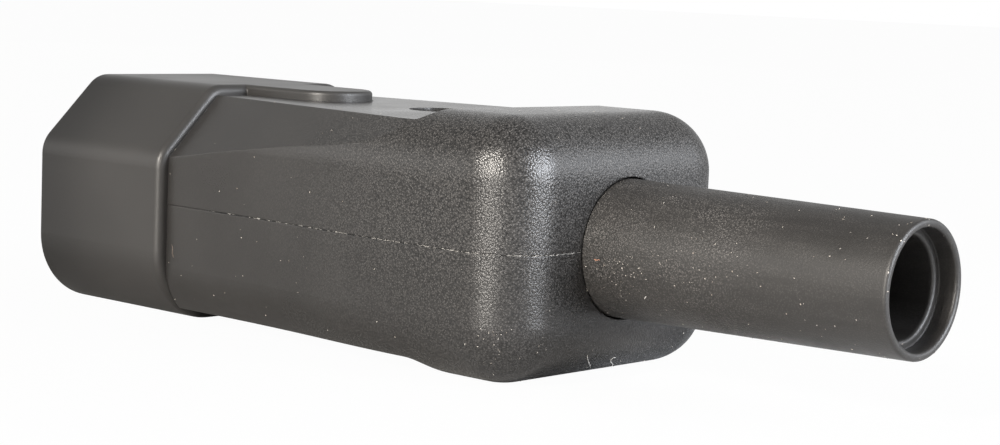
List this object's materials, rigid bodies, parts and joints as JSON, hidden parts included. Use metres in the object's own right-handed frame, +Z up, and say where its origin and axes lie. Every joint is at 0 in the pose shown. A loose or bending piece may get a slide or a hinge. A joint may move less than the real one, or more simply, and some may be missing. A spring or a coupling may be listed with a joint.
{
  "type": "rewireable inlet plug",
  "caption": "Straight rewireable appliance plug: shrouded flat pins, a two-part shell held by a screw, and a cable sleeve.",
  "frame": {"origin": "on the surface the plug lies on, under the middle of its box", "axes": "+X from the mouth of the shroud toward the cable sleeve, +Z up, away from the flat underside, +Y across the plug"},
  "size_m": [0.0946, 0.0304, 0.0231],
  "materials": {
    "shroud_plastic": "satin black, smooth",
    "shell_plastic": "black, fine spark-eroded texture",
    "sleeve_rubber": "black, matte, dusty",
    "insulator_plastic": "black, smooth",
    "pin_metal": "nickel-plated brass, satin",
    "screw_steel": "zinc-plated steel"
  },
  "bodies": {
    "root": {"shroud": "shroud_plastic", "upper_shell": "shell_plastic", "lower_shell": "shell_plastic", "cable_sleeve": "sleeve_rubber", "pin_carrier": "insulator_plastic", "terminal_keeper": "insulator_plastic", "cord_clamp_bar": "insulator_plastic", "line_pin": "pin_metal", "neutral_pin": "pin_metal", "earth_pin": "pin_metal", "line_clamp_washer": "screw_steel", "neutral_clamp_washer": "screw_steel", "earth_clamp_washer": "screw_steel", "line_terminal_screw": "screw_steel", "neutral_terminal_screw": "screw_steel", "earth_terminal_screw": "screw_steel", "left_clamp_screw": "screw_steel", "right_clamp_screw": "screw_steel", "shell_screw": "screw_steel", "shell_nut": "screw_steel"}
  },
  "joints": []
}
